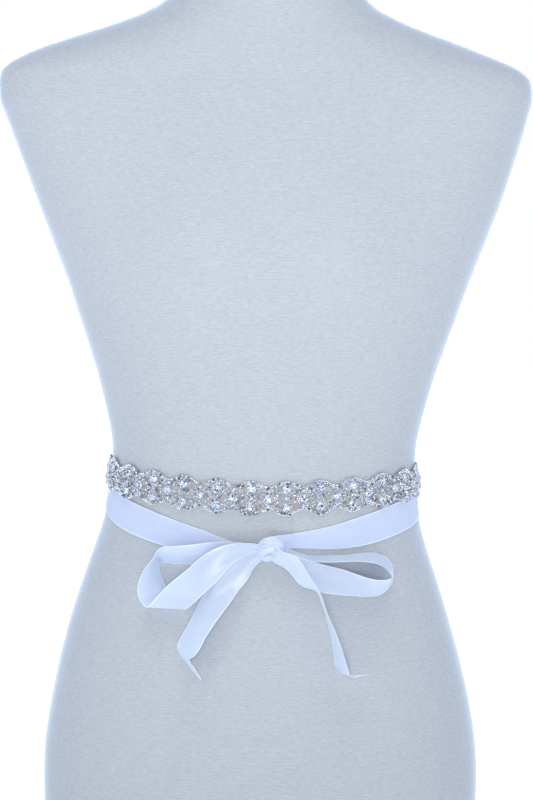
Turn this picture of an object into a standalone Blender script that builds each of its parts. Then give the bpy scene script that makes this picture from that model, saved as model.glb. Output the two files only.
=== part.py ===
"""A rhinestone belt worn round the waist of a limbless dress form and tied in a ribbon bow at the front.

The frame is in metres with +Z up. The form faces -Y and stands on its flat base, which lies round the
origin at height 0, with the middle of the neck above it.
The tables below are in millimetres and degrees. An angle goes round the form: 0 is its right-hand
edge as seen from the front (+X), -90 the front and 90 or -270 the middle of the back.
"""

import math

import bmesh
import bpy
import numpy as np

MM = 0.001

# The form's rounded sections from the base up. Front and back are depths from the section's middle,
# drift moves the section sideways and fullness is the exponent of its rounded outline.
FORM_SECTIONS = (
    # height, half_width, front, back, drift, fullness
    (0, 163.0, 99.0, 104.0, -5.5, 2.35),
    (40, 169.5, 104.0, 110.0, -5.5, 2.35),
    (80, 173.4, 108.0, 114.0, -5.3, 2.35),
    (124, 174.6, 110.0, 116.0, -5.1, 2.35),
    (144, 173.6, 110.5, 116.0, -5.2, 2.35),
    (177, 168.7, 110.0, 113.0, -5.3, 2.30),
    (209, 161.8, 108.5, 108.0, -5.6, 2.30),
    (242, 153.1, 106.0, 103.0, -5.9, 2.25),
    (274, 143.0, 102.0, 98.0, -5.6, 2.20),
    (307, 131.8, 97.5, 93.5, -5.0, 2.15),
    (323, 127.0, 95.3, 92.0, -4.3, 2.15),
    (339, 123.9, 93.5, 91.0, -3.6, 2.15),
    (356, 121.8, 92.3, 90.5, -2.9, 2.15),
    (372, 121.0, 91.8, 90.5, -2.2, 2.15),
    (388, 121.9, 91.8, 91.0, -1.6, 2.15),
    (404, 124.9, 92.0, 92.0, -0.9, 2.15),
    (420, 128.8, 92.5, 93.5, -0.5, 2.15),
    (452, 137.7, 94.0, 97.5, 0.4, 2.20),
    (484, 148.7, 96.0, 102.0, 1.2, 2.20),
    (516, 159.6, 98.0, 106.0, 2.0, 2.25),
    (548, 171.8, 98.5, 109.5, 2.4, 2.30),
    (580, 183.9, 96.0, 111.0, 2.5, 2.35),
    (612, 194.9, 91.0, 109.0, 1.9, 2.40),
    (643, 205.2, 83.5, 101.0, 0.8, 2.45),
    (659, 210.1, 79.0, 95.0, -0.2, 2.45),
    (667, 210.3, 76.5, 91.5, -0.6, 2.45),
    (675, 208.9, 74.0, 88.0, -2.0, 2.40),
    (682.5, 202.7, 72.0, 84.5, -5.5, 2.40),
    (690, 189.0, 70.0, 81.0, -9.0, 2.35),
    (698, 170.1, 68.0, 77.5, -10.3, 2.30),
    (706, 147.6, 66.0, 74.5, -9.0, 2.25),
    (714, 124.0, 64.0, 72.0, -6.5, 2.20),
    (721.5, 104.7, 62.5, 69.5, -4.0, 2.15),
    (729, 89.2, 61.0, 67.5, -1.8, 2.10),
    (737, 78.6, 60.0, 65.5, 0.0, 2.05),
    (748, 69.0, 58.5, 63.5, 0.6, 2.00),
    (762, 63.0, 57.5, 62.0, 0.8, 2.00),
    (782, 60.0, 57.0, 61.0, 0.8, 2.00),
    (820, 59.0, 56.5, 60.5, 0.8, 2.00),
)
# The heights of the rings that the form's skin is built from, closest at the waist and shoulders.
LOWER_RINGS = (3, 40, 80, 110, 135, 160, 185, 210, 232, 252, 270, 287, 303, 318, 332, 346, 360, 374, 388)
MIDDLE_RINGS = (403, 420, 440, 462, 486, 510, 532, 552, 572, 592, 612, 630, 645, 657, 666, 674, 681, 688)
UPPER_RINGS = (694, 700, 706, 712, 718, 724, 731, 739, 749, 762, 782, 802, 815)
FORM_SEGMENTS = 48
FORM_TOP = 820.0
BASE_EDGE = 3.0
NECK_EDGE = 5.0
NECK_ROUNDING = 0.3
# The short steps from which the skin's outward direction is found.
SLOPE_STEP = 0.25

# The two soft swellings of the chest.
BUST_HEIGHT = 548.0
BUST_SIDE = 68.0
BUST_OUT = 19.0
BUST_WIDTH = 44.0
BUST_ABOVE = 66.0
BUST_BELOW = 44.0

# The jewelled band: the height of its middle line and the gap below it, by angle.
BAND_LINE = (
    # angle, height, gap
    (-225, 369.0, 3.3),
    (-208, 368.5, 3.3),
    (-195, 367.5, 3.3),
    (-184, 366.6, 2.3),
    (-173, 365.0, 1.9),
    (-160, 362.0, 1.9),
    (-150, 360.0, 1.9),
    (-139, 357.8, 0.6),
    (-128, 355.9, 0.5),
    (-111, 354.0, 0.5),
    (-95, 352.4, 0.5),
    (-79, 352.2, 0.5),
    (-64, 352.7, 0.5),
    (-49, 353.9, 0.5),
    (-38, 355.1, 0.6),
    (-29, 356.0, 1.9),
    (-20, 356.8, 1.9),
    (-8, 357.8, 1.9),
    (2, 358.7, 2.3),
    (14, 359.6, 3.3),
    (28, 360.4, 3.3),
    (45, 361.0, 3.3),
)
BAND_MIDDLE = -87.1
REPEAT = 26.5
PAIRS_EACH_SIDE = 8
BAND_END = 5.5
# The band's ends are rounded off, down to this share of its height, squared.
BAND_END_SHARE = 0.16
BAND_SAMPLES = 1200
CREST_HALF_HEIGHT = 13.2
VALLEY_HALF_HEIGHT = 8.7
SCALLOP_POWER = 0.8
BAND_WALL = 1.3
BAND_RIM = 1.0
STONE_RISE = 1.7
STONE_REACH = 3.6
PAIR_OFFSET = 7.0
COLUMNS_PER_REPEAT = 10
BAND_ROWS = (-1.0, -0.8, -0.53, -0.27, 0.0, 0.27, 0.53, 0.8, 1.0)
BAND_INSIDE_ROWS = (-1.0, 0.0, 1.0)

# The ribbon, and the stretches of it that lie on the form. Each is sewn under one end of the band,
# crosses the back and comes forward below the other end of the band to the knot.
RIBBON_WIDTH = 22.4
RIBBON_WALL = 1.0
RIBBON_ROWS = (-1.0, 0.0, 1.0)
BACK_LEFT = (
    # angle, top, bottom, gap
    (-200.0, 379.2, 356.8, 0.5),
    (-210.0, 378.6, 356.2, 0.5),
    (-240.0, 375.2, 352.8, 0.5),
    (-270.0, 371.6, 349.2, 0.5),
    (-300.0, 368.4, 346.0, 0.5),
    (-320.0, 364.8, 342.4, 0.5),
    (-340.0, 359.7, 337.0, 0.5),
)
WRAP_RIGHT = (
    # angle, top, bottom, gap
    (19.8, 359.7, 337.0, 0.5),
    (10.0, 356.5, 333.6, 0.5),
    (0.0, 353.2, 330.0, 0.5),
    (-11.6, 349.3, 326.0, 0.5),
    (-23.5, 345.6, 321.6, 0.5),
    (-34.0, 341.5, 317.8, 0.5),
    (-41.0, 338.3, 315.3, 0.5),
    (-49.0, 334.7, 313.4, 0.5),
    (-57.0, 331.0, 312.9, 0.5),
    (-64.0, 328.6, 313.4, 0.5),
    (-71.0, 326.6, 314.2, 0.7),
    (-78.0, 323.6, 314.8, 1.0),
    (-84.0, 320.8, 315.0, 1.2),
)
BACK_RIGHT = (
    # angle, top, bottom, gap
    (20.0, 371.4, 349.0, 1.9),
    (40.0, 371.7, 349.3, 1.9),
    (60.0, 371.4, 349.0, 1.9),
    (90.0, 370.6, 348.2, 1.9),
    (120.0, 369.4, 347.0, 1.9),
    (150.0, 367.9, 345.5, 1.9),
    (160.2, 366.2, 343.7, 1.9),
)
WRAP_LEFT = (
    # angle, top, bottom, gap
    (-199.6, 366.2, 343.7, 1.9),
    (-192.0, 364.6, 341.6, 1.9),
    (-186.0, 363.0, 339.8, 0.9),
    (-180.0, 360.8, 337.5, 0.5),
    (-169.0, 356.4, 333.0, 0.5),
    (-162.0, 351.6, 328.4, 0.5),
    (-153.0, 346.6, 323.3, 0.5),
    (-143.6, 342.0, 319.0, 0.5),
    (-134.6, 337.2, 315.2, 0.5),
    (-125.0, 332.0, 311.0, 0.5),
    (-116.4, 327.6, 307.8, 0.5),
    (-108.0, 322.2, 307.0, 0.5),
    (-103.0, 319.6, 307.8, 0.7),
    (-97.0, 318.4, 309.6, 1.0),
    (-91.5, 317.8, 311.6, 1.2),
)
WRAP_STEP = 6.0

# The hanging stretches, from the knot outwards. Each row is a point of the ribbon's middle line.
# Lean is the direction of the ribbon's width in the front view (0 is +X, 90 is up), turn is how far
# that direction points out of the view towards the front, and width is the share that isn't gathered.
LOOP_LEFT = (
    # x, y, z, lean, turn, width
    (-8.2, -102.6, 314.9, 92, 0, 0.34),
    (-17.2, -102.5, 313.5, 92, 4, 0.56),
    (-31.7, -102.5, 311.8, 91, 10, 0.82),
    (-46.9, -103.4, 310.8, 90, 28, 0.97),
    (-62.2, -102.0, 310.3, 90, 42, 1.00),
    (-73.8, -98.8, 309.9, 90, 47, 1.00),
    (-80.0, -97.1, 309.8, 91, 53, 1.00),
    (-82.7, -96.3, 309.6, 98, 66, 1.00),
    (-84.4, -95.8, 308.0, 122, 78, 1.00),
    (-85.8, -95.9, 304.6, 150, 75, 1.00),
    (-87.5, -95.8, 299.6, 168, 63, 1.00),
    (-88.8, -95.0, 292.1, 178, 46, 1.00),
    (-88.3, -93.4, 284.1, 183, 20, 1.00),
    (-86.9, -94.6, 275.8, 175, 8, 1.02),
    (-82.9, -98.8, 271.4, 175, 2, 1.12),
    (-77.3, -105.1, 269.5, 176, 0, 1.24),
    (-71.5, -109.7, 275.1, 163, -2, 1.16),
    (-65.7, -112.3, 281.2, 150, -6, 1.10),
    (-59.6, -113.7, 286.7, 137, -10, 1.03),
    (-53.5, -114.4, 292.1, 128, -13, 1.00),
    (-44.4, -114.9, 300.6, 126, -15, 1.00),
    (-35.3, -114.2, 308.2, 121, -10, 0.84),
    (-26.2, -112.2, 313.2, 112, -4, 0.64),
    (-17.1, -109.5, 315.5, 104, 0, 0.45),
    (-8.8, -107.1, 316.6, 98, 0, 0.28),
)
TAIL_LEFT = (
    # x, y, z, lean, turn, width
    (-6.8, -105.5, 308.1, -50, 0, 0.34),
    (-15.0, -108.3, 304.5, -42, -8, 0.60),
    (-21.7, -110.1, 298.9, -37, -6, 0.88),
    (-31.2, -111.1, 289.3, -35, 2, 1.00),
    (-38.2, -112.4, 278.0, -34, 28, 1.00),
    (-45.0, -113.3, 267.1, -34, 39, 1.00),
    (-52.1, -114.9, 255.4, -34, 45, 1.00),
    (-58.1, -115.9, 244.4, -33, 45, 1.00),
    (-61.7, -116.4, 238.3, -20, 52, 1.00),
    (-62.1, -116.9, 234.0, 8, 68, 0.94),
    (-60.1, -117.6, 230.8, 32, 74, 0.84),
    (-56.9, -118.6, 226.6, 40, 73, 0.72),
    (-53.1, -119.7, 221.6, 42, 74, 0.50),
    (-49.6, -120.5, 216.7, 42, 77, 0.10),
)
LOOP_RIGHT = (
    # x, y, z, lean, turn, width
    (13.3, -107.6, 308.6, 75, 0, 0.38),
    (19.4, -108.2, 304.2, 74, 0, 0.62),
    (30.8, -109.1, 297.4, 76, 5, 0.90),
    (43.8, -108.8, 292.8, 79, 12, 1.00),
    (56.0, -107.4, 290.1, 80, 19, 1.00),
    (67.9, -104.8, 287.2, 82, 33, 1.00),
    (77.6, -101.5, 285.0, 88, 42, 1.00),
    (87.1, -97.1, 284.4, 96, 51, 1.00),
    (92.5, -93.5, 285.9, 99, 61, 1.00),
    (96.2, -90.0, 288.5, 107, 71, 1.00),
    (97.2, -88.0, 291.8, 140, 82, 1.00),
    (96.4, -87.0, 295.3, 178, 82, 1.00),
    (94.4, -86.8, 299.2, 202, 77, 1.00),
    (91.1, -87.8, 302.8, 222, 75, 1.00),
    (85.9, -90.2, 305.4, 240, 76, 1.00),
    (77.0, -94.6, 307.3, 254, 79.5, 1.00),
    (68.4, -98.3, 307.5, 265, 84, 1.00),
    (56.9, -102.0, 307.3, 269, 86, 1.00),
    (46.9, -103.9, 307.5, 270, 84.5, 0.94),
    (39.3, -103.6, 307.4, 270, 83, 0.78),
    (34.0, -102.6, 307.8, 270, 81, 0.60),
    (27.9, -101.5, 308.9, 270, 76, 0.45),
    (22.8, -101.0, 310.2, 272, 66, 0.38),
    (17.9, -101.5, 312.0, 274, 56, 0.34),
)
TAIL_RIGHT = (
    # x, y, z, lean, turn, width
    (8.4, -111.9, 310.7, 46, 10, 0.50),
    (18.2, -114.5, 306.2, 50, 22, 0.62),
    (23.1, -117.6, 301.6, 47, 34, 0.68),
    (27.8, -121.0, 294.9, 43, 46, 0.74),
    (32.6, -123.0, 290.0, 37, 59, 0.78),
    (37.4, -123.7, 286.4, 26, 76, 0.84),
    (40.1, -123.2, 282.9, 12, 82, 0.90),
    (42.3, -122.3, 276.6, 10, 84, 1.00),
    (46.1, -120.7, 265.8, 14, 83, 1.00),
    (49.6, -119.6, 255.7, 12, 78.5, 1.00),
    (52.7, -119.0, 245.0, 8, 74, 1.00),
    (55.7, -118.5, 232.2, 6, 69, 1.00),
    (57.5, -118.4, 224.9, 2, 66, 1.00),
    (60.8, -118.1, 220.6, 40, 76, 0.88),
    (65.0, -117.1, 219.4, 80, 83, 0.68),
    (71.2, -115.4, 219.7, 88, 83, 0.40),
    (77.7, -113.2, 220.1, 90, 83, 0.06),
)
STRIP_STEP = 5.0
LEAST_STEP = 1.5

# The knot: a small rounded lump with the ribbon's folds running round it.
KNOT_CENTRE = (3.2, -105.6, 315.2)
KNOT_HALF_SIZE = (11.0, 6.6, 9.4)
KNOT_LEAN = 24.0
KNOT_FOLDS = 5
KNOT_FOLD_DEPTH = 0.055
KNOT_SWIRL = 2.2
KNOT_FULLNESS = 0.8
KNOT_AROUND = 24
KNOT_ALONG = 13

# Colour and roughness of the jersey, the trim and the satin, and the trim's share of metal.
JERSEY = ((0.6, 0.66, 0.74), 0.85, 0.0)
TRIM = ((0.55, 0.56, 0.58), 0.3, 0.7)
SATIN = ((0.7, 0.8, 0.96), 0.35, 0.0)
SHARP_EDGE = 50.0


def slopes(positions, values):
    """The slope of a smooth curve at each row of a table."""
    steps = np.diff(positions)
    rises = np.diff(values) / steps
    found = np.empty(len(values))
    found[0] = rises[0]
    found[-1] = rises[-1]
    found[1:-1] = (rises[:-1] * steps[1:] + rises[1:] * steps[:-1]) / (steps[:-1] + steps[1:])
    return found


def smooth(positions, values, at):
    """The values of a table's column at any positions, as a smooth curve through its rows."""
    positions = np.asarray(positions, float)
    values = np.asarray(values, float)
    at = np.clip(np.asarray(at, float), positions[0], positions[-1])
    row = np.clip(np.searchsorted(positions, at, side="right") - 1, 0, len(positions) - 2)
    step = positions[row + 1] - positions[row]
    part = (at - positions[row]) / step
    slope = slopes(positions, values)
    start = values[row] * (2 * part**3 - 3 * part**2 + 1)
    end = values[row + 1] * (3 * part**2 - 2 * part**3)
    lean_in = slope[row] * step * (part**3 - 2 * part**2 + part)
    lean_out = slope[row + 1] * step * (part**3 - part**2)
    return start + end + lean_in + lean_out


def column(table, number):
    return [row[number] for row in table]


def form_value(height, number):
    return smooth(column(FORM_SECTIONS, 0), column(FORM_SECTIONS, number), height)


def form_point(angle, height):
    """Points of the form's skin, in millimetres, at angles in degrees and heights."""
    angle, height = np.broadcast_arrays(np.asarray(angle, float), np.asarray(height, float))
    across = np.cos(np.radians(angle))
    along = np.sin(np.radians(angle))
    depth = np.where(along < 0, form_value(height, 2), form_value(height, 3))
    power = form_value(height, 5)
    side = (np.abs(across) / form_value(height, 1)) ** power
    reach = (side + (np.abs(along) / depth) ** power) ** (-1 / power)
    x = reach * across
    y = reach * along
    fall = np.where(height > BUST_HEIGHT, BUST_ABOVE, BUST_BELOW)
    swell = np.exp(-(((height - BUST_HEIGHT) / fall) ** 2))
    pair = np.exp(-(((x - BUST_SIDE) / BUST_WIDTH) ** 2)) + np.exp(-(((x + BUST_SIDE) / BUST_WIDTH) ** 2))
    y = y - BUST_OUT * swell * pair * np.clip(-along, 0, 1) ** 2
    return np.stack([x + form_value(height, 4), y, height], axis=-1)


def unit(vectors):
    return vectors / np.maximum(np.linalg.norm(vectors, axis=-1, keepdims=True), 1e-9)


def form_outward(angle, height):
    """The outward direction of the form's skin."""
    angle = np.asarray(angle, float)
    height = np.asarray(height, float)
    around = form_point(angle + SLOPE_STEP, height) - form_point(angle - SLOPE_STEP, height)
    upward = form_point(angle, height + SLOPE_STEP) - form_point(angle, height - SLOPE_STEP)
    return unit(np.cross(around, upward))


def on_form(angle, height, gap):
    """Points at a gap outside the form's skin."""
    return form_point(angle, height) + form_outward(angle, height) * np.asarray(gap)[..., None]


def add_solid(name, points, faces, finish):
    """One closed body with a material of its own, from points in millimetres."""
    mesh = bpy.data.meshes.new(name)
    mesh.from_pydata((np.asarray(points, float) * MM).tolist(), [], faces)
    shape = bmesh.new()
    shape.from_mesh(mesh)
    bmesh.ops.recalc_face_normals(shape, faces=shape.faces)
    shape.to_mesh(mesh)
    shape.free()
    mesh.shade_smooth()
    mesh.set_sharp_from_angle(angle=math.radians(SHARP_EDGE))
    colour, roughness, metallic = finish
    material = bpy.data.materials.new(name)
    material.use_nodes = True
    shader = material.node_tree.nodes["Principled BSDF"]
    shader.inputs["Base Color"].default_value = (*colour, 1.0)
    shader.inputs["Roughness"].default_value = roughness
    shader.inputs["Metallic"].default_value = metallic
    mesh.materials.append(material)
    solid = bpy.data.objects.new(name, mesh)
    bpy.context.scene.collection.objects.link(solid)
    return solid


def wall(outside, inside):
    """The points and faces of a closed wall between two grids with the same first axis."""
    length, rows = outside.shape[:2]
    inner_rows = inside.shape[1]
    points = np.concatenate([outside.reshape(-1, 3), inside.reshape(-1, 3)])
    first = length * rows
    faces = []
    for i in range(length - 1):
        for j in range(rows - 1):
            a = i * rows + j
            faces.append((a, a + 1, a + rows + 1, a + rows))
        for j in range(inner_rows - 1):
            a = first + i * inner_rows + j
            faces.append((a, a + inner_rows, a + inner_rows + 1, a + 1))
        for outer, inner in ((0, 0), (rows - 1, inner_rows - 1)):
            a = i * rows + outer
            b = first + i * inner_rows + inner
            faces.append((a, a + rows, b + inner_rows, b))
    for i in (0, length - 1):
        outer_edge = [i * rows + j for j in range(rows)]
        inner_edge = [first + i * inner_rows + j for j in range(inner_rows)]
        faces.append(tuple(outer_edge + inner_edge[::-1]))
    return points, faces


def add_form():
    """The dress form: closed rings from the flat base to the flat top of the neck."""
    angles = np.arange(FORM_SEGMENTS) * 360.0 / FORM_SEGMENTS
    heights = LOWER_RINGS + MIDDLE_RINGS + UPPER_RINGS
    rings = [form_point(angles, np.full(FORM_SEGMENTS, float(height))) for height in heights]
    base = form_point(angles, np.zeros(FORM_SEGMENTS))
    base = base - unit(base) * BASE_EDGE
    shoulder = form_point(angles, np.full(FORM_SEGMENTS, FORM_TOP))
    middle = np.array([form_value(FORM_TOP, 4), 0.0, 0.0])
    inward = unit((shoulder - middle) * (1.0, 1.0, 0.0))
    edge = shoulder - (inward + (0.0, 0.0, 1.0)) * NECK_EDGE * NECK_ROUNDING
    top = shoulder - inward * NECK_EDGE
    base[:, 2] = 0.0
    rings = [base, *rings, edge, top]
    points = np.concatenate(rings)
    faces = []
    for i in range(len(rings) - 1):
        for j in range(FORM_SEGMENTS):
            a = i * FORM_SEGMENTS + j
            b = i * FORM_SEGMENTS + (j + 1) % FORM_SEGMENTS
            faces.append((a, b, b + FORM_SEGMENTS, a + FORM_SEGMENTS))
    last = (len(rings) - 1) * FORM_SEGMENTS
    faces.append(tuple(range(FORM_SEGMENTS))[::-1])
    faces.append(tuple(range(last, last + FORM_SEGMENTS)))
    add_solid("dress_form", points, faces, JERSEY)


def band_positions():
    """The columns of the band: distance along it from its middle, angle, height and gap."""
    angles = np.linspace(BAND_LINE[0][0], BAND_LINE[-1][0], BAND_SAMPLES)
    heights = smooth(column(BAND_LINE, 0), column(BAND_LINE, 1), angles)
    line = form_point(angles, heights)
    lengths = np.concatenate([[0.0], np.cumsum(np.linalg.norm(np.diff(line, axis=0), axis=1))])
    lengths -= np.interp(BAND_MIDDLE, angles, lengths)
    half = PAIRS_EACH_SIDE * REPEAT + BAND_END
    columns = 2 * int(round(half / REPEAT * COLUMNS_PER_REPEAT))
    along = np.linspace(-half, half, columns + 1)
    angle = np.interp(along, lengths, angles)
    height = smooth(column(BAND_LINE, 0), column(BAND_LINE, 1), angle)
    gap = smooth(column(BAND_LINE, 0), column(BAND_LINE, 2), angle)
    return along, angle, height, gap


def from_pair(along):
    """The distance along the band from the nearest pair of stones."""
    return np.abs((along + REPEAT) % REPEAT - REPEAT / 2)


def band_half_height(along):
    """Half the band's height: a crest at each pair of stones and a valley between."""
    crest = (np.cos(np.pi * from_pair(along) / (REPEAT / 2)) + 1) / 2
    return VALLEY_HALF_HEIGHT + (CREST_HALF_HEIGHT - VALLEY_HALF_HEIGHT) * crest**SCALLOP_POWER


def add_band():
    """The jewelled band: a plain inside and an outside raised over each large stone."""
    along, angle, height, gap = band_positions()
    end = (along[-1] - np.abs(along)) / BAND_END
    rounding = np.sqrt(np.clip(1 - (1 - np.clip(end, 0, 1)) ** 2, BAND_END_SHARE, 1))
    half = band_half_height(along) * rounding
    outside = []
    for share in BAND_ROWS:
        offset = half * share
        pair = np.hypot(from_pair(along), np.abs(offset) - PAIR_OFFSET)
        single = np.hypot(REPEAT / 2 - from_pair(along), offset)
        nearest = np.minimum(pair, single)
        rise = STONE_RISE * np.sqrt(np.clip(1 - (nearest / STONE_REACH) ** 2, 0, 1))
        thick = np.where(abs(share) == 1, BAND_RIM, BAND_WALL + rise)
        outside.append(on_form(angle, height + offset, gap + thick))
    inside = [on_form(angle, height + half * share, gap) for share in BAND_INSIDE_ROWS]
    points, faces = wall(np.stack(outside, axis=1), np.stack(inside, axis=1))
    add_solid("rhinestone_band", points, faces, TRIM)


def add_wrap(name, table):
    """A stretch of ribbon that lies on the form."""
    angles = np.array(column(table, 0))
    order = np.argsort(angles)
    places = angles[order]
    tops = np.array(column(table, 1))[order]
    bottoms = np.array(column(table, 2))[order]
    gaps = np.array(column(table, 3))[order]
    line = form_point(angles, (np.array(column(table, 1)) + np.array(column(table, 2))) / 2)
    length = np.linalg.norm(np.diff(line, axis=0), axis=1).sum()
    at = np.linspace(places[0], places[-1], max(6, int(length / WRAP_STEP)) + 1)
    top = smooth(places, tops, at)
    bottom = smooth(places, bottoms, at)
    gap = smooth(places, gaps, at)
    middle = (top + bottom) / 2
    half = (top - bottom) / 2
    inside = np.stack([on_form(at, middle + half * row, gap) for row in RIBBON_ROWS], axis=1)
    outside = np.stack([on_form(at, middle + half * row, gap + RIBBON_WALL) for row in RIBBON_ROWS], axis=1)
    points, faces = wall(outside, inside)
    add_solid(name, points, faces, SATIN)


def strip_frame(table):
    """The middle line, width direction and half width along a hanging stretch of ribbon."""
    rows = np.array(table, float)
    steps = np.linalg.norm(np.diff(rows[:, :3], axis=0), axis=1)
    places = np.concatenate([[0.0], np.cumsum(steps)])
    at = np.linspace(0.0, places[-1], int(places[-1] / STRIP_STEP) + 2)
    at = np.sort(np.concatenate([at, places[1:-1]]))
    keep = np.concatenate([[True], np.diff(at) > LEAST_STEP])
    at = at[keep]
    middle = np.stack([smooth(places, rows[:, k], at) for k in range(3)], axis=1)
    lean = np.radians(smooth(places, rows[:, 3], at))
    turn = np.radians(smooth(places, rows[:, 4], at))
    flat = np.cos(turn)
    width = np.stack([flat * np.cos(lean), -np.sin(turn), flat * np.sin(lean)], axis=1)
    half = smooth(places, rows[:, 5], at) * RIBBON_WIDTH / 2
    return middle, width, half


def add_strip(name, table):
    """A hanging stretch of ribbon: a loop or a tail of the bow."""
    middle, width, half = strip_frame(table)
    lines = [middle + width * (half * row)[:, None] for row in RIBBON_ROWS]
    grid = np.stack(lines, axis=1)
    forward = np.gradient(grid, axis=0)
    outward = unit(np.cross(forward, width[:, None, :]))
    shift = outward * RIBBON_WALL / 2
    points, faces = wall(grid + shift, grid - shift)
    add_solid(name, points, faces, SATIN)


def add_knot():
    """The knot at the middle of the bow."""
    lean = math.radians(KNOT_LEAN)
    points = []
    for i in range(1, KNOT_ALONG):
        polar = math.pi * i / KNOT_ALONG
        for j in range(KNOT_AROUND):
            turn = 2 * math.pi * j / KNOT_AROUND
            fold = 1 + KNOT_FOLD_DEPTH * math.cos(KNOT_FOLDS * turn + KNOT_SWIRL * polar) * math.sin(polar)
            across = KNOT_HALF_SIZE[0] * math.cos(polar)
            round_it = math.sin(polar) ** KNOT_FULLNESS * fold
            out = -KNOT_HALF_SIZE[1] * round_it * math.cos(turn)
            up = KNOT_HALF_SIZE[2] * round_it * math.sin(turn)
            points.append((across, out, up))
    points.append((KNOT_HALF_SIZE[0], 0.0, 0.0))
    points.append((-KNOT_HALF_SIZE[0], 0.0, 0.0))
    points = np.array(points)
    turned = np.empty_like(points)
    turned[:, 0] = points[:, 0] * math.cos(lean) - points[:, 2] * math.sin(lean)
    turned[:, 1] = points[:, 1]
    turned[:, 2] = points[:, 0] * math.sin(lean) + points[:, 2] * math.cos(lean)
    turned += KNOT_CENTRE
    faces = []
    rings = KNOT_ALONG - 1
    right = rings * KNOT_AROUND
    for j in range(KNOT_AROUND):
        k = (j + 1) % KNOT_AROUND
        faces.append((right, j, k))
        faces.append((right + 1, (rings - 1) * KNOT_AROUND + k, (rings - 1) * KNOT_AROUND + j))
        for i in range(rings - 1):
            a = i * KNOT_AROUND
            faces.append((a + j, a + KNOT_AROUND + j, a + KNOT_AROUND + k, a + k))
    add_solid("bow_knot", turned, faces, SATIN)


def build():
    for thing in list(bpy.data.objects):
        bpy.data.objects.remove(thing)
    add_form()
    add_band()
    add_wrap("ribbon_back_left", BACK_LEFT)
    add_wrap("ribbon_wrap_right", WRAP_RIGHT)
    add_wrap("ribbon_back_right", BACK_RIGHT)
    add_wrap("ribbon_wrap_left", WRAP_LEFT)
    add_strip("loop_left", LOOP_LEFT)
    add_strip("loop_right", LOOP_RIGHT)
    add_strip("tail_left", TAIL_LEFT)
    add_strip("tail_right", TAIL_RIGHT)
    add_knot()


build()
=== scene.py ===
"""The look of a rhinestone belt tied round a limbless dress form: jersey, satin ribbon, stones and beads.

Lengths in the tables are in millimetres and angles in degrees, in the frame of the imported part.
"""

import math

import bmesh
import bpy
import numpy as np
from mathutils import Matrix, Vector


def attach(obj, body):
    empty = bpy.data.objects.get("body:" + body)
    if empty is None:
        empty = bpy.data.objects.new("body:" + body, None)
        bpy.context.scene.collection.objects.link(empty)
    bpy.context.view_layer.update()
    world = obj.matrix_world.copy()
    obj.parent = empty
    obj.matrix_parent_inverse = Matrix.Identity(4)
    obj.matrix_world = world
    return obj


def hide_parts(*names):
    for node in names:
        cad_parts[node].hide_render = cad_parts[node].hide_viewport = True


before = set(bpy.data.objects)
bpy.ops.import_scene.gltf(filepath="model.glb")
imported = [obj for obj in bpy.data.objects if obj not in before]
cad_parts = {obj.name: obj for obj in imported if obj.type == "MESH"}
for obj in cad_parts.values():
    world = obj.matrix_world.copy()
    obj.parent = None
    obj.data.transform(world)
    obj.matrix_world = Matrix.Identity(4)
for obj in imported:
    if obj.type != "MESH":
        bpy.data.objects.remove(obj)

MM = 0.001
# A point times this loses its height.
LEVEL = (1.0, 1.0, 0.0)

# The form's rounded sections from the base up. Front and back are depths from the section's middle,
# drift moves the section sideways and fullness is the exponent of its rounded outline.
FORM_SECTIONS = (
    # height, half_width, front, back, drift, fullness
    (0, 163, 99, 104, -5.5, 2.35),
    (40, 169.5, 104, 110, -5.5, 2.35),
    (80, 173.4, 108, 114, -5.3, 2.35),
    (124, 174.6, 110, 116, -5.1, 2.35),
    (144, 173.6, 110.5, 116, -5.2, 2.35),
    (177, 168.7, 110, 113, -5.3, 2.3),
    (209, 161.8, 108.5, 108, -5.6, 2.3),
    (242, 153.1, 106, 103, -5.9, 2.25),
    (274, 143, 102, 98, -5.6, 2.2),
    (307, 131.8, 97.5, 93.5, -5, 2.15),
    (323, 127, 95.3, 92, -4.3, 2.15),
    (339, 123.9, 93.5, 91, -3.6, 2.15),
    (356, 121.8, 92.3, 90.5, -2.9, 2.15),
    (372, 121, 91.8, 90.5, -2.2, 2.15),
    (388, 121.9, 91.8, 91, -1.6, 2.15),
    (404, 124.9, 92, 92, -0.9, 2.15),
    (420, 128.8, 92.5, 93.5, -0.5, 2.15),
    (452, 137.7, 94, 97.5, 0.4, 2.2),
    (484, 148.7, 96, 102, 1.2, 2.2),
    (516, 159.6, 98, 106, 2, 2.25),
    (548, 171.8, 98.5, 109.5, 2.4, 2.3),
    (580, 183.9, 96, 111, 2.5, 2.35),
    (612, 194.9, 91, 109, 1.9, 2.4),
    (643, 205.2, 83.5, 101, 0.8, 2.45),
    (659, 210.1, 79, 95, -0.2, 2.45),
    (667, 210.3, 76.5, 91.5, -0.6, 2.45),
    (675, 208.9, 74, 88, -2, 2.4),
    (682.5, 202.7, 72, 84.5, -5.5, 2.4),
    (690, 189, 70, 81, -9, 2.35),
    (698, 170.1, 68, 77.5, -10.3, 2.3),
    (706, 147.6, 66, 74.5, -9, 2.25),
    (714, 124, 64, 72, -6.5, 2.2),
    (721.5, 104.7, 62.5, 69.5, -4, 2.15),
    (729, 89.2, 61, 67.5, -1.8, 2.1),
    (737, 78.6, 60, 65.5, 0, 2.05),
    (748, 69, 58.5, 63.5, 0.6, 2),
    (762, 63, 57.5, 62, 0.8, 2),
    (782, 60, 57, 61, 0.8, 2),
    (820, 59, 56.5, 60.5, 0.8, 2),
)
FORM_TOP = 820.0
# The radii of the form's rounded lower and upper edges, and the heights of its lowest rings.
BASE_EDGE = 3.0
NECK_EDGE = 5.0
FOOT_HEIGHTS = (0.0, 0.25, 0.9, 2.0, 3.6, 6.0)
# The short steps from which the skin's outward direction is found.
SLOPE_STEP = 0.25

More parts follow.
